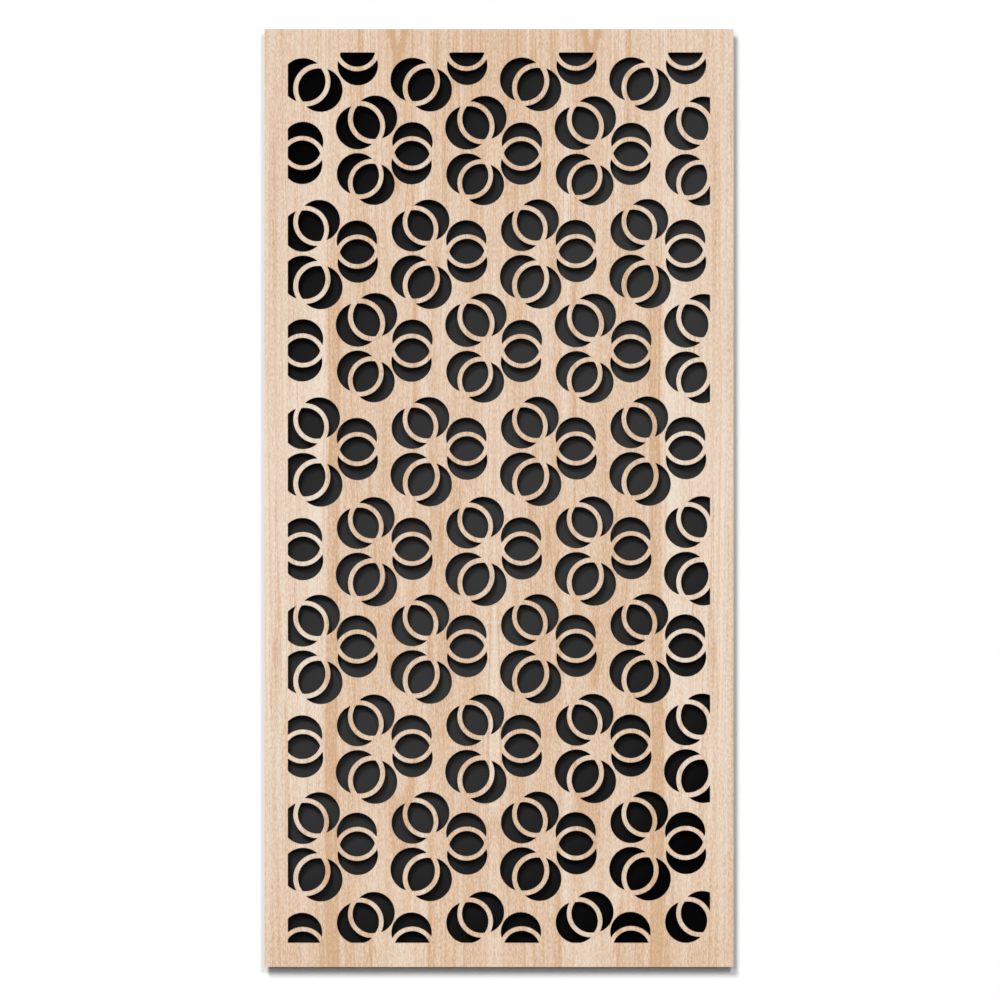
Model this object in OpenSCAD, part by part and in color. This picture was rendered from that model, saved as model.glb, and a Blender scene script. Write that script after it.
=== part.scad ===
// Laser-cut decorative panel: a maple-faced fretwork sheet held off a black backing board
// by a lapped spacer frame, hung from two keyhole plates let into the back.
// X runs across the panel, Z runs up it, and its front looks towards -Y.
// The origin is the middle of the panel's foot, halfway through its depth.

/* [Panel] */
// Width of the panel
panel_w = 600; // [480:1:720]
// Height of the panel
panel_h = 1200; // [900:1:1500]
// Plain margin left above the fretwork and on both sides of it
margin = 30; // [28:0.5:50]
// Plain margin left below the fretwork
foot_margin = 31; // [28:0.5:50]

/* [Face sheet] */
// Thickness of the veneer on each side of the core
veneer_t = 0.6; // [0.4:0.1:1]
// Thickness of the core between the veneers
core_t = 4.8; // [4:0.1:9]

/* [Fretwork] */
// Distance between motifs along a row
motif_pitch = 140; // [138:0.5:160]
// Distance from one row down to the next
row_pitch = 126.3; // [125:0.1:145]
// Place of the first row's motifs, to the right of the panel's middle
pattern_shift = 59.6; // [-70:0.5:70]
// How far the first row lies below the top of the fretwork
first_row_drop = 1.5; // [0:0.5:50]
// How much lower every other row lies than halfway between its neighbours
stagger_drop = 1.5; // [0:0.1:3]
// How much each motif stands higher than the one on its left, or lower in a turned row
row_rise = 0.4; // [0:0.1:1]
// How many of the staggered rows, from the top down, are turned over
turned_rows = 2; // [0:1:5]
// How far a petal comes below the top or above the foot of the fretwork, or it is left out as a sliver
least_bite = 3; // [1:0.5:6]

/* [Petal] */
// Radius of the two round holes that overlap to make a petal
disc_r = 25.7; // [24.5:0.1:26]
// Radius of the two arcs that bound the eye in the middle of a petal
eye_r = 23.7; // [22.5:0.1:24]
// Width of the curved strip left between the eye and each crescent
strip_w = 5.9; // [4:0.1:8]
// Distance of each round hole's centre from the middle of its petal
disc_offset = [14.1, 11.8, 11.8]; // [10:0.1:15]
// Distance of each eye arc's centre from the middle of its petal
eye_offset = [7.7, 8.8, 8.8]; // [7:0.1:10]
// Size of each petal beside the first one
petal_ratio = [1, 1.035, 1.09]; // [0.95:0.005:1.1]
// Distance of each petal from the middle of its motif
petal_reach = [39.2, 40.4, 41.9]; // [38.5:0.1:43]
// Turn of each petal's place about the motif, away from an even third
petal_swing = [3.1, -0.3, 2.9]; // [-4:0.1:4]
// Lean of each petal away from square to its own direction
petal_lean = [-0.7, 2.5, -2.1]; // [-4:0.1:4]

/* [Spacer frame] */
// Thickness of the spacer frame, which sets the gap behind the fretwork
spacer_t = 9; // [8:0.5:20]
// How far the spacer frame and backing board stop short of the panel's edge
frame_inset = 3; // [1:0.5:5]
// How far the spacer frame stays hidden behind the edge of the fretwork
frame_cover = 3; // [1:0.5:5]
// Diameter of the dowel that pins each lapped corner
dowel_d = 6; // [4:0.5:8]
// How far each dowel enters the face sheet
dowel_entry = 3; // [2:0.5:4]
// Clearance around a dowel
dowel_play = 0.1; // [0.05:0.05:0.2]

/* [Backing board] */
// Thickness of the backing board
board_t = 3; // [2.5:0.5:6]
// Distance of the first and last screw of each stile from the frame's ends
stile_screw_end = 60; // [40:1:90]
// Number of screws along each stile
stile_screws = 6; // [3:1:10]
// Number of screws along each rail, between the hangers
rail_screws = 3; // [1:1:5]

/* [Screws] */
// Overall length of the countersunk screws
screw_l = 10; // [8:0.5:11]
// Diameter of the screws' shank
screw_d = 3; // [2.5:0.1:3.5]
// Diameter of the screws' head
head_d = 5.6; // [5.5:0.1:6]
// Height of the straight rim on the screws' head
head_rim = 0.2; // [0.1:0.05:0.3]
// Clearance around a screw
screw_play = 0.1; // [0.05:0.05:0.2]
// Length of the cross cut into the screws' head
cross_l = 3; // [2.5:0.1:3.4]
// Width of the cross cut into the screws' head
cross_w = 0.8; // [0.5:0.1:1]
// Depth of the cross cut into the screws' head
cross_depth = 0.9; // [0.5:0.1:1.1]

/* [Hangers] */
// Distance of each keyhole from the side of the panel
hanger_inset = 100; // [80:1:140]
// Length of a hanger plate, over its round ends
plate_l = 50; // [46:1:60]
// Height of a hanger plate
plate_h = 20; // [19:0.5:21]
// Thickness of a hanger plate
plate_t = 1.5; // [1.5:0.1:2]
// Clearance around a hanger plate in its recess
plate_play = 0.3; // [0.1:0.1:0.4]
// Diameter of the keyhole's round entry
entry_d = 9; // [8.5:0.1:9.5]
// Width of the keyhole's slot
slot_w = 4.5; // [4:0.1:5]
// Travel from the middle of the entry to the end of the slot
slot_travel = 8.5; // [8:0.1:9]
// Distance of the keyhole's entry below the middle of the plate
entry_drop = 3.5; // [3:0.1:4]
// Clearance that the head pocket leaves around the keyhole's entry
pocket_play = 0.25; // [0.1:0.05:0.4]
// Depth of the head pocket in the top rail
pocket_depth = 5; // [4:0.5:6]

/* [Wall bumpers] */
// Diameter of a wall bumper
bumper_d = 12; // [8:0.5:16]
// Height of a wall bumper
bumper_t = 3; // [2:0.5:6]
// Rounding of a wall bumper's free edge
bumper_round = 1.2; // [0.5:0.1:1.8]
// Distance of a wall bumper's middle from the frame's edges
bumper_inset = 15; // [9:0.5:25]

/* [Hidden] */

// Facets on the arcs of the fretwork, and on the small round parts
arc_facets = 96;
small_facets = 48;
// Extra length that carries a cut clear of the faces it passes through
over = 1;

// Fretwork window
window_w = panel_w - 2 * margin;
window_h = panel_h - margin - foot_margin;
window_top = panel_h - margin;

// Even turn from one petal of a motif to the next
petal_turn = 120;
// Farthest that a motif reaches from its middle
motif_r = max([for (i = [0:2]) petal_reach[i] + (disc_offset[i] + disc_r) * petal_ratio[i]]);
last_row = floor((window_h + motif_r) / row_pitch);
last_column = ceil((window_w / 2 + motif_r + motif_pitch) / motif_pitch);

// Spacer frame
frame_w = panel_w - 2 * frame_inset;
frame_h = panel_h - 2 * frame_inset;
frame_top = panel_h - frame_inset;
spacer_w = margin - frame_inset - frame_cover;
lap_t = spacer_t / 2;
stile_x = (frame_w - spacer_w) / 2;
rail_low_z = frame_inset + spacer_w / 2;
rail_high_z = frame_top - spacer_w / 2;

// Stations through the depth, from the front to the wall
depth = 2 * veneer_t + core_t + spacer_t + board_t + bumper_t;
face_y = -depth / 2;
core_y = face_y + veneer_t;
balance_y = core_y + core_t;
spacer_y = balance_y + veneer_t;
board_y = spacer_y + spacer_t;
back_y = board_y + board_t;

// Screws and hangers
head_cone = (head_d - screw_d) / 2;
stile_screw_gap = (frame_h - 2 * stile_screw_end) / (stile_screws - 1);
hanger_x = panel_w / 2 - hanger_inset;
rail_screw_gap = 2 * hanger_x / (rail_screws + 1);
plate_screw_x = (plate_l - plate_h) / 2;
pocket_d = entry_d + 2 * pocket_play;

stile_screw_places = [
    for (side = [-1, 1], i = [0:stile_screws - 1])
        [side * stile_x, frame_inset + stile_screw_end + i * stile_screw_gap]
];
rail_screw_places = [
    for (z = [rail_low_z, rail_high_z], i = [1:rail_screws])
        [i * rail_screw_gap - hanger_x, z]
];
hanger_screw_places = [
    for (side = [-1, 1], end = [-1, 1])
        [side * hanger_x + end * plate_screw_x, rail_high_z]
];
corner_places = [for (x = [-stile_x, stile_x], z = [rail_low_z, rail_high_z]) [x, z]];

// A flat layer drawn in X and Z, from y towards the back by t
module layer(y, t) {
    translate([0, y + t, 0])
        rotate([90, 0, 0])
            linear_extrude(t)
                children();
}

// Children drawn up +Z are laid to point from the back towards the front at each place
module from_back(places, y = back_y) {
    for (place = places)
        translate([place[0], y, place[1]])
            rotate([90, 0, 0])
                children();
}

module upright_rectangle(width, height, bottom) {
    translate([-width / 2, bottom])
        square([width, height]);
}

// The fretwork, drawn as the holes that the laser takes out

// Pointed eye, where two arcs cross
module eye(i) {
    intersection_for(side = [-1, 1])
        translate([side * eye_offset[i], 0])
            circle(r = eye_r, $fn = arc_facets);
}

// What is left of a round hole once the strip beside the eye is kept
module crescent(i) {
    difference() {
        translate([disc_offset[i], 0])
            circle(r = disc_r, $fn = arc_facets);
        translate([-eye_offset[i], 0])
            circle(r = eye_r + strip_w, $fn = arc_facets);
    }
}

module petal(i) {
    scale(petal_ratio[i]) {
        eye(i);
        crescent(i);
        rotate(180)
            crescent(i);
    }
}

// Turn of a petal's place about the middle of its motif
function petal_angle(i) = petal_turn * i + petal_swing[i];

// Height of a petal's middle above its motif's, which is set level with the first petal
function petal_height(i) = petal_reach[i] * sin(petal_angle(i)) - petal_reach[0] * sin(petal_angle(0));

// How far a petal reaches above and below its own middle
function petal_half_height(i) =
    petal_ratio[i] * (disc_r + disc_offset[i] * abs(cos(petal_angle(i) + petal_lean[i])));

// Whether a petal with its middle at z comes far enough inside the fretwork to be cut
function is_cut(i, z) =
    z - petal_half_height(i) < window_top - least_bite
    && z + petal_half_height(i) > foot_margin + least_bite;

// The listed petals of the three that stand about a plain middle
module motif(petals) {
    translate([0, -petal_reach[0] * sin(petal_angle(0))])
        for (i = petals)
            rotate(petal_angle(i))
                translate([petal_reach[i], 0])
                    rotate(90 + petal_lean[i])
                        petal(i);
}

module motif_row(row) {
    staggered = row % 2 == 1;
    turned = staggered && row < 2 * turned_rows;
    way = turned ? -1 : 1;
    start_x = pattern_shift - (staggered ? motif_pitch / 2 : 0);
    row_z = window_top - first_row_drop - row * row_pitch - (staggered ? stagger_drop : 0);
    for (column = [-last_column:last_column]) {
        x = start_x + column * motif_pitch;
        z = row_z + way * row_rise * x / motif_pitch;
        if (abs(x) < window_w / 2 + motif_r)
            translate([x, z])
                mirror([0, turned ? 1 : 0])
                    motif([for (i = [0:2]) if (is_cut(i, z + way * petal_height(i))) i]);
    }
}

module fretwork() {
    intersection() {
        upright_rectangle(window_w, window_h, foot_margin);
        for (row = [0:last_row])
            motif_row(row);
    }
}

module fretted_sheet() {
    difference() {
        upright_rectangle(panel_w, panel_h, 0);
        fretwork();
    }
}

// Blind or through holes for the corner dowels, cut from behind the sheet
module dowel_holes() {
    from_back(corner_places, spacer_y + over)
        cylinder(d = dowel_d + 2 * dowel_play, h = dowel_entry + dowel_play + over, $fn = small_facets);
}

module face_veneer() {
    color("#dfc3a5")
        layer(face_y, veneer_t)
            fretted_sheet();
}

module face_core() {
    color("#6b4a30")
        difference() {
            layer(core_y, core_t)
                fretted_sheet();
            dowel_holes();
        }
}

module balance_veneer() {
    color("#cbb08f")
        difference() {
            layer(balance_y, veneer_t)
                fretted_sheet();
            dowel_holes();
        }
}

// Spacer frame: stiles keep the back half of each lap, rails keep the front half

// Holes through the laps for the corner dowels
module lap_bores() {
    from_back(corner_places, board_y + over)
        cylinder(d = dowel_d + 2 * dowel_play, h = spacer_t + 2 * over, $fn = small_facets);
}

// Pilot holes for the screws that come through the backing board
module pilot_holes(places) {
    from_back(places, back_y)
        cylinder(d = screw_d + 2 * screw_play, h = screw_l + over / 2, $fn = small_facets);
}

module spacer_stile(side) {
    color("#242220")
        difference() {
            layer(spacer_y, spacer_t)
                translate([side * stile_x, 0])
                    upright_rectangle(spacer_w, frame_h, frame_inset);
            for (z = [frame_inset - over, frame_top - spacer_w])
                layer(spacer_y - over, lap_t + over)
                    translate([side * stile_x, 0])
                        upright_rectangle(spacer_w + 2 * over, spacer_w + over, z);
            lap_bores();
            pilot_holes(stile_screw_places);
        }
}

module spacer_rail(z) {
    difference() {
        layer(spacer_y, spacer_t)
            upright_rectangle(frame_w, spacer_w, z - spacer_w / 2);
        for (side = [-1, 1])
            layer(spacer_y + lap_t, lap_t + over)
                translate([side * (frame_w / 2 - spacer_w / 2 + over / 2), 0])
                    upright_rectangle(spacer_w + over, spacer_w + 2 * over, z - spacer_w / 2 - over);
        lap_bores();
        pilot_holes(rail_screw_places);
    }
}

module spacer_stile_left() {
    spacer_stile(-1);
}

module spacer_stile_right() {
    spacer_stile(1);
}

module spacer_rail_top() {
    color("#242220")
        difference() {
            spacer_rail(rail_high_z);
            pilot_holes(hanger_screw_places);
            layer(board_y - pocket_depth, pocket_depth + over)
                head_pockets();
        }
}

module spacer_rail_bottom() {
    color("#242220")
        spacer_rail(rail_low_z);
}

module corner_dowels() {
    color("#c9a877")
        from_back(corner_places, board_y)
            cylinder(d = dowel_d, h = spacer_t + dowel_entry, $fn = small_facets);
}

// Hangers: a keyhole plate in a recess, with a pocket behind it for the wall screw's head

// A slot with round ends that runs up from the keyhole's entry
module upright_slot(width) {
    for (x = [-hanger_x, hanger_x])
        translate([x, rail_high_z - entry_drop]) {
            circle(d = width, $fn = small_facets);
            translate([-width / 2, 0])
                square([width, slot_travel]);
            translate([0, slot_travel])
                circle(d = width, $fn = small_facets);
        }
}

module head_pockets() {
    upright_slot(pocket_d);
}

module keyholes() {
    upright_slot(slot_w);
    for (x = [-hanger_x, hanger_x])
        translate([x, rail_high_z - entry_drop])
            circle(d = entry_d, $fn = small_facets);
}

// Outline of a hanger plate, made larger all round by the clearance
module plate_outline(x, clearance = 0) {
    round_d = plate_h + 2 * clearance;
    translate([x, rail_high_z]) {
        square([plate_l - plate_h, round_d], center = true);
        for (end = [-1, 1])
            translate([end * plate_screw_x, 0])
                circle(d = round_d, $fn = arc_facets);
    }
}

module hanger(x) {
    color("#b9bcc0")
        difference() {
            layer(back_y - plate_t, plate_t)
                difference() {
                    plate_outline(x);
                    keyholes();
                }
            screw_holes(hanger_screw_places);
        }
}

module hanger_left() {
    hanger(-hanger_x);
}

module hanger_right() {
    hanger(hanger_x);
}

// Screws, with their heads flush in the face they are driven from

module countersunk(d, length, play = 0) {
    cylinder(d = d + 2 * play, h = length, $fn = small_facets);
    cylinder(d = head_d + 2 * play, h = head_rim, $fn = small_facets);
    translate([0, 0, head_rim])
        cylinder(d1 = head_d + 2 * play, d2 = d + 2 * play, h = head_cone, $fn = small_facets);
}

module screw_holes(places) {
    from_back(places) {
        countersunk(screw_d, screw_l, screw_play);
        translate([0, 0, -over])
            cylinder(d = head_d + 2 * screw_play, h = over + head_rim, $fn = small_facets);
    }
}

module screw() {
    tip = screw_d / 2;
    difference() {
        union() {
            countersunk(screw_d, screw_l - tip);
            translate([0, 0, screw_l - tip])
                cylinder(d1 = screw_d, d2 = screw_d / 4, h = tip, $fn = small_facets);
        }
        for (turn = [0, 90])
            rotate(turn)
                translate([-cross_l / 2, -cross_w / 2, -over])
                    cube([cross_l, cross_w, cross_depth + over]);
    }
}

module backing_board() {
    color("#1c1c1c")
        difference() {
            layer(board_y, board_t)
                upright_rectangle(frame_w, frame_h, frame_inset);
            screw_holes(concat(stile_screw_places, rail_screw_places));
            pilot_holes(hanger_screw_places);
            layer(back_y - plate_t, plate_t + over)
                for (x = [-hanger_x, hanger_x])
                    plate_outline(x, plate_play);
            layer(board_y - over, board_t + 2 * over)
                head_pockets();
        }
}

module backing_screws() {
    color("#4a4a4c")
        from_back(concat(stile_screw_places, rail_screw_places))
            screw();
}

module hanger_screws() {
    color("#c8cacd")
        from_back(hanger_screw_places)
            screw();
}

// Round rubber feet that keep the panel off the wall
module wall_bumpers() {
    bumper_places = [
        for (x = [-1, 1], z = [frame_inset + bumper_inset, frame_top - bumper_inset])
            [x * (frame_w / 2 - bumper_inset), z]
    ];
    color("#2b2b2d")
        from_back(bumper_places, back_y + bumper_t)
            rotate_extrude($fn = small_facets) {
                translate([0, bumper_round])
                    square([bumper_d / 2, bumper_t - bumper_round]);
                square([bumper_d / 2 - bumper_round, bumper_t]);
                translate([bumper_d / 2 - bumper_round, bumper_round])
                    circle(r = bumper_round, $fn = small_facets);
            }
}

face_veneer();
face_core();
balance_veneer();
spacer_stile_left();
spacer_stile_right();
spacer_rail_top();
spacer_rail_bottom();
corner_dowels();
backing_board();
backing_screws();
hanger_left();
hanger_right();
hanger_screws();
wall_bumpers();
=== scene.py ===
import math

import bpy
import numpy as np
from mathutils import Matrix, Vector


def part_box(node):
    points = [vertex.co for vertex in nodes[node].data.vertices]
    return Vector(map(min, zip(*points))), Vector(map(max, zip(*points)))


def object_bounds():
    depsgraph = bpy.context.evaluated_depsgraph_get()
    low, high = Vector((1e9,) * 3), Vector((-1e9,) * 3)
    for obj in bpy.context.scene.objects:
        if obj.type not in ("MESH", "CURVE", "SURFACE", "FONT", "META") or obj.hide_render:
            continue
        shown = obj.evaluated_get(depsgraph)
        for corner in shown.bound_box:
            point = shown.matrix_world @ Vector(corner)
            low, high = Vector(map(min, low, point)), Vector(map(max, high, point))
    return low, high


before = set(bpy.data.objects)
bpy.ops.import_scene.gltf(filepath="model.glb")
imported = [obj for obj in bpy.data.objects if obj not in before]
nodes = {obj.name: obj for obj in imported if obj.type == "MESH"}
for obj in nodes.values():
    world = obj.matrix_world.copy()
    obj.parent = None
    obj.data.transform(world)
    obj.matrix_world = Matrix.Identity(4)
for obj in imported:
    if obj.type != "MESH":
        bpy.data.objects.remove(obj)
cadLow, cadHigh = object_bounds()
print("frame loaded with", len(nodes), "nodes")


# small helpers for building node trees

def linear(red, green, blue):
    # screen colour, 0 to 255, as the linear colour a shader takes
    steps = np.array([red, green, blue]) / 255
    curve = np.where(steps <= 0.04045, steps / 12.92, ((steps + 0.055) / 1.055) ** 2.4)
    return (*[float(c) for c in curve], 1.0)


def addNode(tree, kind, inputs=None, **settings):
    made = tree.nodes.new("ShaderNode" + kind)
    for name, value in settings.items():
        setattr(made, name, value)
    for name, value in (inputs or {}).items():
        if isinstance(value, bpy.types.NodeSocket):
            tree.links.new(value, made.inputs[name])
        else:
            made.inputs[name].default_value = value
    return made


def calc(tree, operation, *values):
    return addNode(tree, "Math", dict(enumerate(values)), operation=operation).outputs[0]


def band(tree, value, low, high, start=0.0, end=1.0):
    # eases value from start at low to end at high
    made = addNode(tree, "MapRange", {"Value": value, "From Min": low, "From Max": high,
                                      "To Min": start, "To Max": end}, interpolation_type="SMOOTHSTEP")
    return made.outputs["Result"]


def stretched(tree, position, perMetre, detail=0.0, shift=0.0):
    # noise about zero, with perMetre features along each axis
    placed = addNode(tree, "Mapping", {"Vector": position, "Scale": perMetre, "Location": (shift,) * 3})
    made = addNode(tree, "TexNoise", {"Vector": placed.outputs[0], "Scale": 1.0, "Detail": detail})
    return calc(tree, "SUBTRACT", made.outputs["Fac"], 0.5)


def addUp(tree, start, terms):
    # start plus every value times its share
    total = start
    for value, share in terms:
        total = calc(tree, "MULTIPLY_ADD", value, share, total)
    return total


def ramp(tree, value, stops):
    made = addNode(tree, "ValToRGB", {"Fac": value})
    elements = made.color_ramp.elements
    while len(elements) < len(stops):
        elements.new(0.5)
    # all places first, because the ramp may sort its stops as they move
    for element, stop in zip(elements, stops):
        element.position = stop[0]
    for element, stop in zip(elements, stops):
        element.color = linear(*stop[1])
    return made.outputs["Color"]


def blend(tree, share, first, second):
    # share 0 gives the first colour and 1 the second; in colour mode the node reads inputs 6 and 7
    return addNode(tree, "Mix", {0: share, 6: first, 7: second}, data_type="RGBA").outputs[2]


def newGroup(name, inputs, outputs):
    group = bpy.data.node_groups.new(name, "ShaderNodeTree")
    for label, (kind, value) in inputs.items():
        made = group.interface.new_socket(label, in_out="INPUT", socket_type="NodeSocket" + kind)
        made.default_value = value
    for label in outputs:
        group.interface.new_socket(label, in_out="OUTPUT", socket_type="NodeSocketFloat")
    return group, group.nodes.new("NodeGroupInput"), group.nodes.new("NodeGroupOutput")


def useGroup(tree, group, **inputs):
    return addNode(tree, "Group", inputs, node_tree=group).outputs


def newFinish(name, **constants):
    # a material with its Principled shader; what never changes goes on the shader's own sockets
    finish = bpy.data.materials.new(name)
    finish.use_nodes = True
    tree = finish.node_tree
    tree.nodes.clear()
    sockets = {key.replace("_", " "): value for key, value in constants.items()}
    shader = addNode(tree, "BsdfPrincipled", sockets)
    addNode(tree, "OutputMaterial", {"Surface": shader.outputs[0]})
    return finish, tree, shader


def connect(tree, shader, colour, roughness, height, depth):
    tree.links.new(colour, shader.inputs["Base Color"])
    tree.links.new(roughness, shader.inputs["Roughness"])
    bump = addNode(tree, "Bump", {"Height": height, "Distance": depth, "Strength": 1.0})
    tree.links.new(bump.outputs[0], shader.inputs["Normal"])


def objectCoords(tree):
    return addNode(tree, "TexCoord").outputs["Object"]


# shared effects; each noise is given as features per metre along the axes, detail, and a shift that
# keeps its pattern apart from the others

figureNoise = {
    "slowBend": ((5, 5, 1.7), 1.0, 3.0), "quickBend": ((34, 34, 11), 1.0, 8.0), "quickShare": 0.15,
    "broad": ((16, 16, 1.3), 2.0, 1.0), "medium": ((110, 110, 2.4), 1.0, 5.0),
    "fine": ((300, 300, 5.5), 2.0, 2.0), "fleck": ((740, 740, 230), 1.0, 6.0),
    "pore": ((2100, 2100, 75), 1.0, 13.0),
    "crossing": ((125, 125, 2.0), 1.0, 11.0), "comes": ((60, 60, 3.5), 1.0, 12.0),
    "hairHalf": 0.05, "comesFrom": -0.12, "comesTo": 0.14,
    "drift": ((30, 30, 2.2), 1.0, 9.0), "driftShare": 0.02, "ringDarkFrom": 0.5,
    "patch": ((26, 26, 2.0), 1.0, 4.0), "patchFrom": -0.02, "patchTo": 0.16,
    "fineRelief": 0.5, "fleckRelief": 0.4, "poreRelief": 0.6,
}


def makeWoodFigure(look):
    # streaks along Z on several scales, flecks and pores, all mirrored about the joint between two
    # leaves; growth lines follow a cone's section, so they close into arches below the apex;
    # the joint and the heart lie far off unless they are given
    group, given, result = newGroup("woodFigure", {
        "Position": ("Vector", (0, 0, 0)), "JointX": ("Float", 10.0), "HeartAway": ("Float", 9.9),
        "ApexZ": ("Float", 1.3), "Taper": ("Float", 0.1), "Waviness": ("Float", 0.01),
        "RingPitch": ("Float", 0.009),
        "Broad": ("Float", 0.7), "Medium": ("Float", 0.4), "Fine": ("Float", 0.7), "Fleck": ("Float", 0.6),
        "Pore": ("Float", 0.4), "Hair": ("Float", -0.1),
    }, ["Tone", "Streak", "Relief", "Away"])
    put = given.outputs
    axes = addNode(group, "SeparateXYZ", {"Vector": put["Position"]}).outputs
    fromJoint = calc(group, "ABSOLUTE", calc(group, "SUBTRACT", axes[0], put["JointX"]))
    folded = addNode(group, "CombineXYZ", {"X": fromJoint, "Y": axes[1], "Z": axes[2]}).outputs[0]

    slowBend = stretched(group, folded, *look["slowBend"])
    quickBend = stretched(group, folded, *look["quickBend"])
    bothBends = addUp(group, slowBend, [(quickBend, look["quickShare"])])
    bend = calc(group, "MULTIPLY", bothBends, put["Waviness"])
    away = calc(group, "ADD", fromJoint, bend)

    fromHeart = calc(group, "SUBTRACT", away, put["HeartAway"])
    belowApex = calc(group, "MULTIPLY", calc(group, "SUBTRACT", put["ApexZ"], axes[2]), put["Taper"])
    ring = calc(group, "SQRT", calc(group, "ADD", calc(group, "POWER", fromHeart, 2.0),
                                    calc(group, "POWER", belowApex, 2.0)))
    growth = addNode(group, "CombineXYZ", {"X": ring, "Y": axes[1], "Z": axes[2]}).outputs[0]
    straight = addNode(group, "CombineXYZ", {"X": away, "Y": axes[1], "Z": axes[2]}).outputs[0]

    broad = stretched(group, straight, *look["broad"])
    medium = stretched(group, growth, *look["medium"])
    fine = stretched(group, straight, *look["fine"])
    fleck = stretched(group, folded, *look["fleck"])
    pore = stretched(group, folded, *look["pore"])
    # hairlines run where a noise crosses zero, and come and go along their length
    crossing = calc(group, "ABSOLUTE", stretched(group, growth, *look["crossing"]))
    comes = band(group, stretched(group, straight, *look["comes"]), look["comesFrom"], look["comesTo"])
    hair = calc(group, "MULTIPLY", band(group, crossing, 0.0, look["hairHalf"], 1.0, 0.0), comes)
    tone = addUp(group, 0.5, [(broad, put["Broad"]), (medium, put["Medium"]), (fine, put["Fine"]),
                              (fleck, put["Fleck"]), (pore, put["Pore"]), (hair, put["Hair"])])

    # growth lines: each ring darkens slowly across its width and ends sharply
    drift = stretched(group, growth, *look["drift"])
    drifted = addUp(group, ring, [(drift, look["driftShare"])])
    inRing = calc(group, "FRACT", calc(group, "DIVIDE", drifted, put["RingPitch"]))
    line = band(group, inRing, look["ringDarkFrom"], 1.0)
    patch = band(group, stretched(group, straight, *look["patch"]), look["patchFrom"], look["patchTo"])
    streak = calc(group, "MULTIPLY", line, patch)
    relief = addUp(group, 0.5, [(fine, look["fineRelief"]), (fleck, look["fleckRelief"]),
                                (pore, look["poreRelief"])])
    for label, value in (("Tone", tone), ("Streak", streak), ("Relief", relief), ("Away", away)):
        group.links.new(value, result.inputs[label])
    return group


# a wall's normal has a smaller part than this along Y
steepNormal = 0.7


def makeCutMask():
    # for a sheet that lies across Y: one mask for its cut walls and one for its back
    group, given, result = newGroup("cutMask", {}, ["Wall", "Back"])
    normal = addNode(group, "TexCoord").outputs["Normal"]
    facing = addNode(group, "SeparateXYZ", {"Vector": normal}).outputs[1]
    wall = calc(group, "LESS_THAN", calc(group, "ABSOLUTE", facing), steepNormal)
    back = calc(group, "GREATER_THAN", facing, steepNormal)
    group.links.new(wall, result.inputs["Wall"])
    group.links.new(back, result.inputs["Back"])
    return group


scorchNoise = {"perMetreDeep": 60.0, "patch": ((45, 90, 45), 1.0, 2.0), "patchShare": 1.6,
               "ridgeShare": 0.9}


def makeScorch(look):
    # laser striations that run through the sheet, and slower patches of soot along the cut
    group, given, result = newGroup("scorch", {
        "Position": ("Vector", (0, 0, 0)), "Pitch": ("Float", 0.0012),
    }, ["Char", "Ridge"])
    place = given.outputs["Position"]
    size = calc(group, "DIVIDE", 1.0, given.outputs["Pitch"])
    spread = addNode(group, "CombineXYZ", {"X": size, "Y": look["perMetreDeep"], "Z": size}).outputs[0]
    placed = addNode(group, "VectorMath", {0: place, 1: spread}, operation="MULTIPLY").outputs[0]
    ridge = addNode(group, "TexNoise", {"Vector": placed, "Scale": 1.0, "Detail": 1.0}).outputs["Fac"]
    patch = stretched(group, place, *look["patch"])
    char = addUp(group, 0.5, [(patch, look["patchShare"]),
                              (calc(group, "SUBTRACT", ridge, 0.5), look["ridgeShare"])])
    group.links.new(char, result.inputs["Char"])
    group.links.new(ridge, result.inputs["Ridge"])
    return group


edgeNoise = {"bevelSamples": 4, "patch": ((60, 60, 60), 2.0, 7.0), "flatLean": 0.995}


def makeWornEdge(look):
    # how far a rounded corner's normal leans from the true one: near 1 on an edge, 0 on flat ground
    group, given, result = newGroup("wornEdge", {
        "Radius": ("Float", 0.0005), "Breakup": ("Float", 0.5), "FullLean": ("Float", 0.75),
    }, ["Mask"])
    rounded = addNode(group, "Bevel", {"Radius": given.outputs["Radius"]}, samples=look["bevelSamples"])
    plain = addNode(group, "NewGeometry").outputs["Normal"]
    lean = addNode(group, "VectorMath", {0: rounded.outputs[0], 1: plain}, operation="DOT_PRODUCT")
    patch = stretched(group, objectCoords(group), *look["patch"])
    kept = calc(group, "MULTIPLY_ADD", patch, given.outputs["Breakup"], 1.0)
    worn = band(group, lean.outputs["Value"], look["flatLean"], given.outputs["FullLean"])
    mask = calc(group, "MULTIPLY", worn, kept)
    group.links.new(calc(group, "MINIMUM", mask, 1.0), result.inputs["Mask"])
    return group


handlingNoise = {"smear": ((9, 9, 6), 3.0, 1.0), "scuff": ((40, 160, 700), 2.0, 5.0),
                 "scuffFrom": 0.16, "scuffTo": 0.3}


def makeHandling(look):
    # cloudy smears about zero, and a mask of fine scuffs
    group, given, result = newGroup("handling", {"Position": ("Vector", (0, 0, 0))}, ["Smear", "Scuff"])
    place = given.outputs["Position"]
    smear = stretched(group, place, *look["smear"])
    scuff = band(group, stretched(group, place, *look["scuff"]), look["scuffFrom"], look["scuffTo"])
    group.links.new(smear, result.inputs["Smear"])
    group.links.new(scuff, result.inputs["Scuff"])
    return group


woodFigure = makeWoodFigure(figureNoise)
cutMask = makeCutMask()
scorch = makeScorch(scorchNoise)
wornEdge = makeWornEdge(edgeNoise)
handling = makeHandling(handlingNoise)
print("shared effects built")


# face veneer: two book-matched leaves of pale maple that meet near the middle; straight grained,
# with a dark streak well out in each leaf, a paler zone beyond it that is partly the wood's tone and partly
# painted light, brightest at mid-height, and one arch at the top

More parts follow.
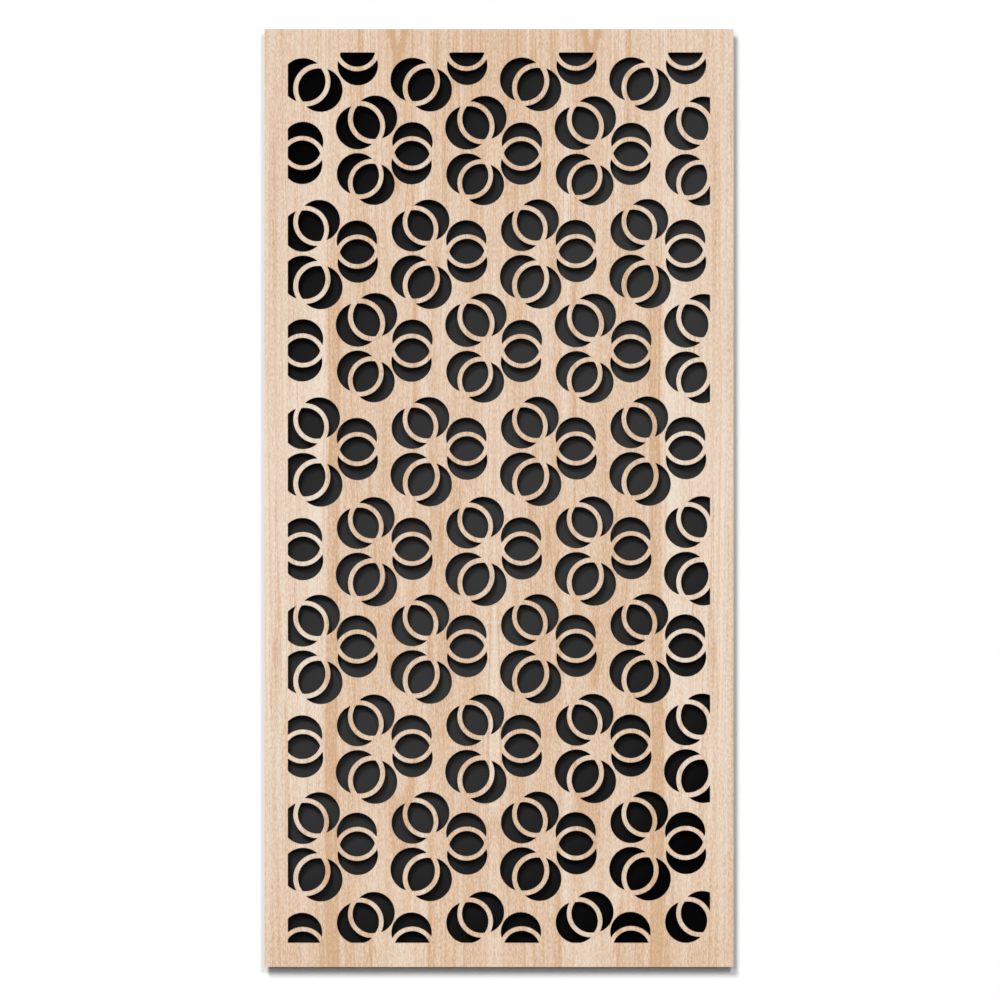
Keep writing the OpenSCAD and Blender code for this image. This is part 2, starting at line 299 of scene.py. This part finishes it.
mapleFace = {
    "tones": [(0.10, (203, 162, 122)), (0.25, (212, 176, 142)), (0.37, (218, 185, 155)),
              (0.46, (221, 192, 166)), (0.54, (224, 198, 173)), (0.63, (227, 204, 182)),
              (0.75, (230, 210, 190)), (0.88, (235, 219, 201))],
    "level": -0.045, "streakColour": (211, 172, 133), "streakShare": 0.5,
    "jointX": -0.0058, "heartAway": 0.122, "apexZ": 1.32, "taper": 0.055, "waviness": 0.011,
    "ringPitch": 0.009,
    "broad": 0.85, "medium": 0.32, "fine": 0.56, "fleck": 1.1, "pore": 0.7, "hair": 0.32,
    # distance from the joint, half width, how dark, and the height at which it has faded out
    "lines": [(0.2005, 0.0028, 0.22, 1.40), (0.2065, 0.0120, 0.30, 1.00), (0.2120, 0.0025, 0.18, 0.90),
              (0.1025, 0.0035, 0.22, 1.40), (0.0530, 0.0045, 0.12, 0.80), (0.0810, 0.0050, 0.14, 0.60),
              (0.1460, 0.0170, 0.16, 0.90), (0.1640, 0.0180, 0.12, 0.62), (0.2580, 0.0220, 0.13, 0.72),
              (0.0915, 0.0100, -0.19, 1.13), (0.1180, 0.0200, -0.13, 1.05), (0.1025, 0.0035, -0.12, 0.62),
              (0.2930, 0.0130, -0.24, 0.80), (0.0000, 0.0420, -0.18, 1.15)],
    "lineFade": 0.14,
    "paleFrom": 0.213, "paleBlend": 0.006, "paleLeast": 0.08, "paleLitMost": 0.22, "paleLitMiddle": 0.80,
    "paleLitReach": 0.62,
    "archTip": 1.163, "archSlope": 0.26, "archHalf": 0.0075, "archTail": 0.03, "archDark": 0.42,
    "rimScorch": (58, 42, 31), "rimRadius": 0.001, "rimBreakup": 0.9, "rimLean": 0.94,
    "cutShare": 0.9, "outerShare": 0.08, "outerWithin": 0.002, "cutBeyond": 0.004,
    "alongCut": 0.0013, "wall": [(0.2, (38, 22, 12)), (0.85, (112, 74, 42))],
    "smoke": (150, 112, 78), "backSmoke": 0.0,
    "roughness": 0.55, "figureRough": 0.12, "wallRough": 0.3, "relief": 0.00004, "glossIndex": 1.46,
}

# balance veneer: the same wood from other leaves, unlacquered, with some smoke from the cut on its back
mapleBack = {**mapleFace, "jointX": 0.071, "roughness": 0.7, "backSmoke": 0.35}


def addLeafFigure(tree, look, away, height):
    # the long lines, the pale zone and the arch, as one offset to the wood's tone; the pale zone is partly
    # painted light
    total = look["level"]
    for middle, halfWidth, dark, fadesAt in look["lines"]:
        offset = calc(tree, "ABSOLUTE", calc(tree, "SUBTRACT", away, middle))
        across = band(tree, offset, 0.0, halfWidth, dark, 0.0)
        along = band(tree, height, fadesAt - look["lineFade"], fadesAt, 1.0, 0.0)
        total = calc(tree, "SUBTRACT", total, calc(tree, "MULTIPLY", across, along))
    # partly painted light: the pale zone is palest at mid-height, by the square of the distance from there
    fromMiddle = calc(tree, "DIVIDE", calc(tree, "SUBTRACT", height, look["paleLitMiddle"]), look["paleLitReach"])
    paleLitBow = calc(tree, "SUBTRACT", 1.0, calc(tree, "POWER", calc(tree, "ABSOLUTE", fromMiddle), 2.0))
    paleAndLit = calc(tree, "MULTIPLY_ADD", paleLitBow, look["paleLitMost"] - look["paleLeast"], look["paleLeast"])
    outside = band(tree, away, look["paleFrom"], look["paleFrom"] + look["paleBlend"])
    total = calc(tree, "MULTIPLY_ADD", paleAndLit, outside, total)
    # the arch: a line whose distance from the heart grows with the height above the tip
    aboveTip = calc(tree, "SUBTRACT", height, look["archTip"])
    opening = calc(tree, "MULTIPLY", calc(tree, "MAXIMUM", aboveTip, 0.0), look["archSlope"])
    fromHeart = calc(tree, "ABSOLUTE", calc(tree, "SUBTRACT", away, look["heartAway"]))
    branch = calc(tree, "ABSOLUTE", calc(tree, "SUBTRACT", fromHeart, opening))
    shown = calc(tree, "MULTIPLY", band(tree, branch, 0.0, look["archHalf"], look["archDark"], 0.0),
                 band(tree, aboveTip, -look["archTail"], 0.0))
    return calc(tree, "SUBTRACT", total, shown)


def fromOuterEdge(tree, place):
    # distance to the nearest of the panel's own sides, top and foot
    axes = addNode(tree, "SeparateXYZ", {"Vector": place}).outputs
    aside = calc(tree, "SUBTRACT", cadHigh.x, calc(tree, "ABSOLUTE", axes[0]))
    below = calc(tree, "SUBTRACT", cadHigh.z, axes[2])
    return calc(tree, "MINIMUM", calc(tree, "MINIMUM", below, axes[2]), aside)


def makeMaple(name, look):
    finish, tree, shader = newFinish(name, IOR=look["glossIndex"])
    place = objectCoords(tree)
    figure = useGroup(tree, woodFigure, Position=place, JointX=look["jointX"], HeartAway=look["heartAway"],
                      ApexZ=look["apexZ"], Taper=look["taper"], Waviness=look["waviness"],
                      RingPitch=look["ringPitch"], Broad=look["broad"], Medium=look["medium"],
                      Fine=look["fine"], Fleck=look["fleck"], Pore=look["pore"], Hair=-look["hair"])
    height = addNode(tree, "SeparateXYZ", {"Vector": place}).outputs[2]
    tone = calc(tree, "ADD", figure["Tone"], addLeafFigure(tree, look, figure["Away"], height))
    colour = ramp(tree, tone, look["tones"])
    colour = blend(tree, calc(tree, "MULTIPLY", figure["Streak"], look["streakShare"]), colour,
                   linear(*look["streakColour"]))
    sides = useGroup(tree, cutMask)
    # the laser leaves a dark rim along the fretwork; the panel's outer edges only show wear
    rim = useGroup(tree, wornEdge, Radius=look["rimRadius"], Breakup=look["rimBreakup"],
                   FullLean=look["rimLean"])["Mask"]
    share = band(tree, fromOuterEdge(tree, place), look["outerWithin"], look["cutBeyond"],
                 look["outerShare"], look["cutShare"])
    colour = blend(tree, calc(tree, "MULTIPLY", rim, share), colour, linear(*look["rimScorch"]))
    burnt = useGroup(tree, scorch, Position=place, Pitch=look["alongCut"])
    smoked = calc(tree, "MULTIPLY", sides["Back"], look["backSmoke"])
    smoke = calc(tree, "MULTIPLY", smoked, burnt["Char"])
    colour = blend(tree, smoke, colour, linear(*look["smoke"]))
    colour = blend(tree, sides["Wall"], colour, ramp(tree, burnt["Char"], look["wall"]))
    fromEven = calc(tree, "SUBTRACT", figure["Tone"], 0.5)
    rough = addUp(tree, look["roughness"], [(fromEven, look["figureRough"]),
                                            (sides["Wall"], look["wallRough"])])
    connect(tree, shader, colour, rough, figure["Relief"], look["relief"])
    return finish


# core: the board between the veneers, browned by the laser; its plies show as bands in the wall

coreEdge = {
    "tones": [(0.2, (26, 15, 9)), (0.95, (104, 66, 38))], "alongCut": 0.0011,
    "plies": 3, "turnedLighter": 0.16, "level": 0.06,
    "glueLine": (16, 10, 7), "glueFrom": 0.455, "glueShare": 0.7,
    "roughness": 0.86, "ridgeRough": 0.2, "relief": 0.00012, "glossIndex": 1.4,
}


def makeCore(name, look):
    finish, tree, shader = newFinish(name, IOR=look["glossIndex"])
    place = objectCoords(tree)
    burnt = useGroup(tree, scorch, Position=place, Pitch=look["alongCut"])
    low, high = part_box("face_core")
    depth = addNode(tree, "SeparateXYZ", {"Vector": place}).outputs[1]
    plyDepth = (high.y - low.y) / look["plies"]
    through = calc(tree, "DIVIDE", calc(tree, "SUBTRACT", depth, low.y), plyDepth)
    fromMiddle = calc(tree, "ABSOLUTE", calc(tree, "SUBTRACT", calc(tree, "FRACT", through), 0.5))
    glue = calc(tree, "GREATER_THAN", fromMiddle, look["glueFrom"])
    # every second ply is turned across and shows a little lighter
    oddPly = calc(tree, "FLOORED_MODULO", calc(tree, "FLOOR", through), 2.0)
    turned = calc(tree, "MULTIPLY", oddPly, look["turnedLighter"])
    tone = calc(tree, "ADD", burnt["Char"], calc(tree, "SUBTRACT", turned, look["level"]))
    colour = ramp(tree, tone, look["tones"])
    colour = blend(tree, calc(tree, "MULTIPLY", glue, look["glueShare"]), colour,
                   linear(*look["glueLine"]))
    fromEven = calc(tree, "SUBTRACT", burnt["Ridge"], 0.5)
    rough = addUp(tree, look["roughness"], [(fromEven, look["ridgeRough"])])
    connect(tree, shader, colour, rough, burnt["Ridge"], look["relief"])
    return finish


# spacer frame: softwood stained black, so its grain shows only as faint lines

stainedFrame = {
    "tones": [(0.25, (20, 19, 18)), (0.8, (34, 32, 30))],
    "figure": {"ApexZ": 2.0, "Taper": 0.01, "Waviness": 0.006, "Broad": 0.4, "Medium": 0.9, "Fine": 0.9,
               "Fleck": 0.8},
    "worn": (58, 50, 44), "rubRadius": 0.0007, "rubBreakup": 2.2, "rubShare": 0.55,
    "roughness": 0.62, "smearRough": 0.25, "rubRough": -0.12, "relief": 0.00012, "glossIndex": 1.45,
}


def makeStained(name, look, alongX):
    finish, tree, shader = newFinish(name, IOR=look["glossIndex"])
    turn = (0, math.radians(90), 0) if alongX else (0, 0, 0)
    laid = addNode(tree, "Mapping", {"Vector": objectCoords(tree), "Rotation": turn}).outputs[0]
    figure = useGroup(tree, woodFigure, Position=laid, **look["figure"])
    colour = ramp(tree, figure["Tone"], look["tones"])
    rub = useGroup(tree, wornEdge, Radius=look["rubRadius"], Breakup=look["rubBreakup"])["Mask"]
    colour = blend(tree, calc(tree, "MULTIPLY", rub, look["rubShare"]), colour, linear(*look["worn"]))
    marks = useGroup(tree, handling, Position=laid)
    rough = addUp(tree, look["roughness"], [(marks["Smear"], look["smearRough"]), (rub, look["rubRough"])])
    connect(tree, shader, colour, rough, figure["Relief"], look["relief"])
    return finish


# backing board: fibreboard faced black on its front, with a painted sheen in its colour that goes from near
# black in two corners to charcoal in a broad band that climbs from the lower left to the upper right, and
# painted shade that darkens it again towards the foot; plain brown behind, with the dark flecks and slow
# clouds of pressed fibres

blackBoard = {
    "back": (131, 102, 76), "backDark": (107, 81, 59), "fibre": (104, 79, 57),
    "pressed": ((650, 650, 650), 4.0, 9.0), "cloud": ((14, 14, 14), 3.0, 4.0), "cloudShare": 0.25,
    "darkFrom": -0.15, "darkTo": 0.3,
    # the painted sheen: the band's middle, its turn, its half widths along and across, its peak and its
    # sink
    "paintedSheenMiddle": (0.060, 0.676), "paintedSheenTurn": math.radians(58.3), "paintedSheenHalf": (0.85, 0.251),
    "paintedSheenPeak": 0.0555, "paintedSheenSink": 0.0109, "darkest": 0.0012, "lightest": 0.0388,
    "footShade": 0.35, "footReach": 0.19,
    "fleck": ((900, 900, 900), 2.0, 3.0), "fleckTint": 0.35, "smearTint": 0.16,
    "roughness": 0.6, "smearRough": 0.3, "scuffRough": 0.12, "wallRough": 0.25, "gloss": 0.012,
    "relief": 0.00002,
}


def makeBoard(name, look):
    finish, tree, shader = newFinish(name, Specular_IOR_Level=look["gloss"])
    place = objectCoords(tree)
    axes = addNode(tree, "SeparateXYZ", {"Vector": place}).outputs
    middleX, middleZ = look["paintedSheenMiddle"]
    sine, cosine = math.sin(look["paintedSheenTurn"]), math.cos(look["paintedSheenTurn"])
    # distances along and across the painted sheen's band from its middle, then a bell curve of the two,
    # painted into the colour
    along = addUp(tree, -middleX * cosine - middleZ * sine, [(axes[0], cosine), (axes[2], sine)])
    across = addUp(tree, middleX * sine - middleZ * cosine, [(axes[0], -sine), (axes[2], cosine)])
    alongHalf, acrossHalf = look["paintedSheenHalf"]
    spread = addUp(tree, 0.0, [(calc(tree, "MULTIPLY", along, along), 0.5 / alongHalf ** 2),
                               (calc(tree, "MULTIPLY", across, across), 0.5 / acrossHalf ** 2)])
    sheenBell = calc(tree, "EXPONENT", calc(tree, "MULTIPLY", spread, -1.0))
    paintedLightGrey = calc(tree, "MULTIPLY_ADD", sheenBell, look["paintedSheenPeak"], -look["paintedSheenSink"])
    # painted shade: the painted sheen is darkened towards the foot
    paintedLightGrey = calc(tree, "MULTIPLY", calc(tree, "MINIMUM", paintedLightGrey, look["lightest"]),
                band(tree, axes[2], 0.0, look["footReach"], look["footShade"], 1.0))
    paintedLightGrey = calc(tree, "MAXIMUM", paintedLightGrey, look["darkest"])
    front = addNode(tree, "CombineColor", {"Red": paintedLightGrey, "Green": paintedLightGrey, "Blue": paintedLightGrey}).outputs[0]
    marks = useGroup(tree, handling, Position=place)
    fleck = stretched(tree, place, *look["fleck"])
    sides = useGroup(tree, cutMask)
    pressed = addUp(tree, stretched(tree, place, *look["pressed"]),
                    [(stretched(tree, place, *look["cloud"]), look["cloudShare"])])
    darker = band(tree, pressed, look["darkFrom"], look["darkTo"])
    plain = blend(tree, darker, linear(*look["back"]), linear(*look["backDark"]))
    colour = blend(tree, sides["Back"], front, plain)
    colour = blend(tree, sides["Wall"], colour, linear(*look["fibre"]))
    tint = addUp(tree, 1.0, [(marks["Smear"], look["smearTint"]), (fleck, look["fleckTint"])])
    colour = blend(tree, tint, (0, 0, 0, 1), colour)
    rough = addUp(tree, look["roughness"], [(marks["Smear"], look["smearRough"]),
                                            (marks["Scuff"], look["scuffRough"]),
                                            (sides["Wall"], look["wallRough"])])
    connect(tree, shader, colour, rough, fleck, look["relief"])
    return finish


# dowels: beech, with its grain along them

beechDowel = {
    "tones": [(0.25, (176, 134, 92)), (0.75, (214, 178, 134))],
    "figure": {"ApexZ": 0.5, "Taper": 0.02, "Waviness": 0.002, "Broad": 0.3, "Medium": 0.9, "Fine": 0.9,
               "Fleck": 0.9},
    "roughness": 0.6, "figureRough": 0.3, "relief": 0.00005, "glossIndex": 1.45,
}


def makeDowel(name, look):
    finish, tree, shader = newFinish(name, IOR=look["glossIndex"])
    turn = (math.radians(90), 0, 0)
    laid = addNode(tree, "Mapping", {"Vector": objectCoords(tree), "Rotation": turn}).outputs[0]
    figure = useGroup(tree, woodFigure, Position=laid, **look["figure"])
    colour = ramp(tree, figure["Tone"], look["tones"])
    fromEven = calc(tree, "SUBTRACT", figure["Tone"], 0.5)
    rough = addUp(tree, look["roughness"], [(fromEven, look["figureRough"])])
    connect(tree, shader, colour, rough, figure["Relief"], look["relief"])
    return finish


# screws and hanger plates: blackened steel, and zinc plate brushed along the hangers

blackScrew = {"plain": (52, 52, 54), "rubbed": (150, 148, 145), "roughness": 0.38,
              "grain": ((500, 500, 500), 1.0, 3.0), "relief": 0.00001, "rubRadius": 0.00018}
zincPlate = {"plain": (188, 190, 193), "rubbed": (226, 227, 229), "roughness": 0.3,
             "grain": ((30, 1400, 1400), 1.0, 3.0), "relief": 0.000012, "rubRadius": 0.0003}
zincScrew = {"plain": (196, 198, 200), "rubbed": (232, 232, 232), "roughness": 0.27,
             "grain": ((900, 900, 900), 1.0, 3.0), "relief": 0.00001, "rubRadius": 0.00018}
allMetal = {"cloud": ((130, 130, 130), 2.0, 8.0), "rubBreakup": 1.6, "rubShare": 0.7,
            "shade": 0.94, "cloudShade": 0.35, "grainShade": 0.12,
            "cloudRough": 0.4, "grainRough": 0.25, "rubRough": -0.06}


def makeMetal(name, look):
    finish, tree, shader = newFinish(name, Metallic=1.0)
    place = objectCoords(tree)
    rub = useGroup(tree, wornEdge, Radius=look["rubRadius"], Breakup=allMetal["rubBreakup"])["Mask"]
    grain = stretched(tree, place, *look["grain"])
    cloud = stretched(tree, place, *allMetal["cloud"])
    rubbed = calc(tree, "MULTIPLY", rub, allMetal["rubShare"])
    colour = blend(tree, rubbed, linear(*look["plain"]), linear(*look["rubbed"]))
    shade = addUp(tree, allMetal["shade"], [(cloud, allMetal["cloudShade"]),
                                            (grain, allMetal["grainShade"])])
    colour = blend(tree, shade, (0, 0, 0, 1), colour)
    rough = addUp(tree, look["roughness"], [(cloud, allMetal["cloudRough"]),
                                            (grain, allMetal["grainRough"]), (rub, allMetal["rubRough"])])
    connect(tree, shader, colour, rough, grain, look["relief"])
    return finish


# bumpers: moulded rubber, slightly dusty round the rim

rubberFoot = {
    "plain": (36, 36, 38), "dusty": (92, 90, 87), "rimRadius": 0.0009, "rimBreakup": 2.0,
    "cloud": ((240, 240, 240), 3.0, 2.0), "pitted": ((2600, 2600, 2600), 1.0, 4.0),
    "dustAll": 0.1, "dustClouds": 0.6, "dustRim": 0.35,
    "roughness": 0.72, "cloudRough": 0.25, "dustRough": 0.15, "relief": 0.00004, "glossIndex": 1.5,
}


def makeRubber(name, look):
    finish, tree, shader = newFinish(name, IOR=look["glossIndex"])
    place = objectCoords(tree)
    rim = useGroup(tree, wornEdge, Radius=look["rimRadius"], Breakup=look["rimBreakup"])["Mask"]
    cloud = stretched(tree, place, *look["cloud"])
    pitted = stretched(tree, place, *look["pitted"])
    dust = addUp(tree, look["dustAll"], [(cloud, look["dustClouds"]), (rim, look["dustRim"])])
    dusty = calc(tree, "MAXIMUM", dust, 0.0)
    colour = blend(tree, dusty, linear(*look["plain"]), linear(*look["dusty"]))
    rough = addUp(tree, look["roughness"], [(cloud, look["cloudRough"]), (dusty, look["dustRough"])])
    connect(tree, shader, colour, rough, pitted, look["relief"])
    return finish


stileFinish = makeStained("blackFrameStile", stainedFrame, False)
railFinish = makeStained("blackFrameRail", stainedFrame, True)
finishOf = {
    "face_veneer": makeMaple("mapleFace", mapleFace),
    "face_core": makeCore("cutCore", coreEdge),
    "balance_veneer": makeMaple("mapleBack", mapleBack),
    "spacer_stile_left": stileFinish, "spacer_stile_right": stileFinish,
    "spacer_rail_top": railFinish, "spacer_rail_bottom": railFinish,
    "corner_dowels": makeDowel("beechDowel", beechDowel),
    "backing_board": makeBoard("blackBoard", blackBoard),
    "backing_screws": makeMetal("blackScrew", blackScrew),
    "hanger_left": makeMetal("zincPlate", zincPlate),
    "hanger_screws": makeMetal("zincScrew", zincScrew),
    "wall_bumpers": makeRubber("rubberFoot", rubberFoot),
}
finishOf["hanger_right"] = finishOf["hanger_left"]
for name, piece in nodes.items():
    for slot in piece.material_slots:
        slot.material = finishOf[name]
print("finishes laid on", len(finishOf), "pieces")


# stage: the white wall that the panel hangs on, and a pale floor below it

studio = {
    "wallGap": 0.0002, "wallHalf": 7.0, "wallTop": 5.0, "wallColour": (1.0, 1.0, 1.0, 1.0),
    "floorDrop": 0.3, "floorNear": -9.0, "floorFar": 7.0, "floorColour": (0.95, 0.945, 0.935, 1.0),
    "floorCloud": ((3, 3, 3), 3.0), "cloudTint": 0.05, "floorRoughness": 0.9,
}


def makeSheet(name, corners, material):
    # a flat sheet between four corners, listed anticlockwise as seen from its front
    mesh = bpy.data.meshes.new(name)
    mesh.from_pydata([tuple(map(float, c)) for c in corners], [], [(0, 1, 2, 3)])
    mesh.materials.append(material)
    sheet = bpy.data.objects.new(name, mesh)
    bpy.context.scene.collection.objects.link(sheet)
    return sheet


def makeWallPaint(look):
    # seen only by the camera and only from the front, so the panel's back can be looked at and lit
    paint = bpy.data.materials.new("wallPaint")
    paint.use_nodes = True
    tree = paint.node_tree
    tree.nodes.clear()
    frontSide = calc(tree, "SUBTRACT", 1.0, addNode(tree, "NewGeometry").outputs["Backfacing"])
    shown = calc(tree, "MULTIPLY", addNode(tree, "LightPath").outputs["Is Camera Ray"], frontSide)
    clear = addNode(tree, "BsdfTransparent").outputs[0]
    matt = addNode(tree, "BsdfDiffuse", {"Color": look["wallColour"]}).outputs[0]
    mixed = addNode(tree, "MixShader", {0: shown, 1: clear, 2: matt})
    addNode(tree, "OutputMaterial", {"Surface": mixed.outputs[0]})
    return paint


def makeFloorPaint(look):
    paint, tree, shader = newFinish("floorPaint", Roughness=look["floorRoughness"])
    cloud = stretched(tree, objectCoords(tree), *look["floorCloud"])
    tint = addUp(tree, 1.0, [(cloud, look["cloudTint"])])
    colour = blend(tree, tint, (0, 0, 0, 1), look["floorColour"])
    tree.links.new(colour, shader.inputs["Base Color"])
    return paint


wallY = cadHigh.y + studio["wallGap"]
half, top, floorZ = studio["wallHalf"], studio["wallTop"], -studio["floorDrop"]
wallCorners = [(-half, wallY, floorZ), (half, wallY, floorZ), (half, wallY, top), (-half, wallY, top)]
makeSheet("wall", wallCorners, makeWallPaint(studio))
near, far = studio["floorNear"], studio["floorFar"]
floorCorners = [(-half, near, floorZ), (half, near, floorZ), (half, far, floorZ), (-half, far, floorZ)]
floor = makeSheet("floor", floorCorners, makeFloorPaint(studio))
# the floor takes the shadow but throws no light back up at the panel
floor.visible_diffuse = False
print("stage set")


# light: one wide soft source above and to the left, a weaker one to the right and a low one in front
# on the left, all far away, and two soft lamps behind for the views of the back

lighting = {
    # angles of each lamp above the panel and to its left, the angle it spans, and its strength
    "frontLamps": {
        "keyLight": (math.radians(29.6), math.radians(15.5), math.radians(15.5), 1.92),
        "fillLight": (math.radians(20.4), math.radians(-12.9), math.radians(10.7), 0.83),
        "lowLight": (math.radians(9), math.radians(14), math.radians(16.6), 0.45),
    },
    "rearPlace": (1.5, 2.4, 1.7), "rearAim": (0, 0, 0.6), "rearSize": 1.6, "rearPower": 44.0,
    "lampAway": 4.0, "worldAmbient": 0.12, "flagY": -11.0, "flagHalf": 9.0,
}


def addLamp(name, kind, towards, place, **settings):
    lamp = bpy.data.lights.new(name, kind)
    for key, value in settings.items():
        setattr(lamp, key, value)
    made = bpy.data.objects.new(name, lamp)
    bpy.context.scene.collection.objects.link(made)
    made.rotation_euler = Vector(towards).to_track_quat("-Z", "Y").to_euler()
    made.location = place
    made.visible_camera = False


def towardsPanel(up, left):
    # direction of light that comes from above by one angle and from the left by another
    return (math.sin(left) * math.cos(up), math.cos(left) * math.cos(up), -math.sin(up))


panelMiddle = (cadLow + cadHigh) / 2
for name, (up, left, wide, strength) in lighting["frontLamps"].items():
    towards = Vector(towardsPanel(up, left))
    place = panelMiddle - lighting["lampAway"] * towards
    addLamp(name, "SUN", towards, place, energy=strength, angle=wide)
for side in (-1, 1):
    spot = Vector(lighting["rearPlace"]) * Vector((side, 1, 1))
    addLamp("rearLight", "AREA", Vector(lighting["rearAim"]) - spot, spot, energy=lighting["rearPower"],
            shape="SQUARE", size=lighting["rearSize"])


def makeFlag(look):
    # a black sheet in front, which the camera doesn't see, keeps the room's white out of the gloss
    cloth = bpy.data.materials.new("flagCloth")
    cloth.use_nodes = True
    cloth.node_tree.nodes.clear()
    dark = addNode(cloth.node_tree, "Emission", {"Strength": 0.0})
    addNode(cloth.node_tree, "OutputMaterial", {"Surface": dark.outputs[0]})
    size, y = look["flagHalf"], look["flagY"]
    corners = [(size, y, -size), (-size, y, -size), (-size, y, size), (size, y, size)]
    flag = makeSheet("flag", corners, cloth)
    flag.visible_camera = False
    flag.visible_diffuse = False
    flag.visible_shadow = False
    flag.visible_transmission = False


makeFlag(lighting)

world = bpy.data.worlds.new("studioWorld")
bpy.context.scene.world = world
world.use_nodes = True
tree = world.node_tree
tree.nodes.clear()
path = addNode(tree, "LightPath").outputs
# white where it is seen, directly or in a gloss; only a weak light on the object
indirect = calc(tree, "MAXIMUM", path["Is Glossy Ray"], path["Is Transmission Ray"])
seen = calc(tree, "MAXIMUM", path["Is Camera Ray"], indirect)
strength = calc(tree, "MAXIMUM", seen, lighting["worldAmbient"])
room = addNode(tree, "Background", {"Color": (1, 1, 1, 1), "Strength": strength})
addNode(tree, "OutputWorld", {"Surface": room.outputs[0]})
print("lights set")


# camera: square on, with a long lens; the panel's middle stands a little left of and above the frame's

view = {"distance": 18.0, "millimetresPerPixel": 1.2795, "panelPixel": (499.0, 498.0), "pixels": 1000,
        "sensorWidth": 36, "clipEnd": 60}
perPixel = view["millimetresPerPixel"] / 1000
middlePixel = view["pixels"] / 2
aimX = (middlePixel - view["panelPixel"][0]) * perPixel
aimZ = (cadLow.z + cadHigh.z) / 2 + (view["panelPixel"][1] - middlePixel) * perPixel
lens = bpy.data.cameras.new("photoCamera")
lens.sensor_width = view["sensorWidth"]
lens.lens = view["sensorWidth"] * view["distance"] / (view["pixels"] * perPixel)
lens.clip_end = view["clipEnd"]
camera = bpy.data.objects.new("photoCamera", lens)
bpy.context.scene.collection.objects.link(camera)
camera.location = (aimX, cadLow.y - view["distance"], aimZ)
camera.rotation_euler = (math.radians(90), 0, 0)
bpy.context.scene.camera = camera
bpy.context.scene.view_settings.view_transform = "Standard"
print("camera set")
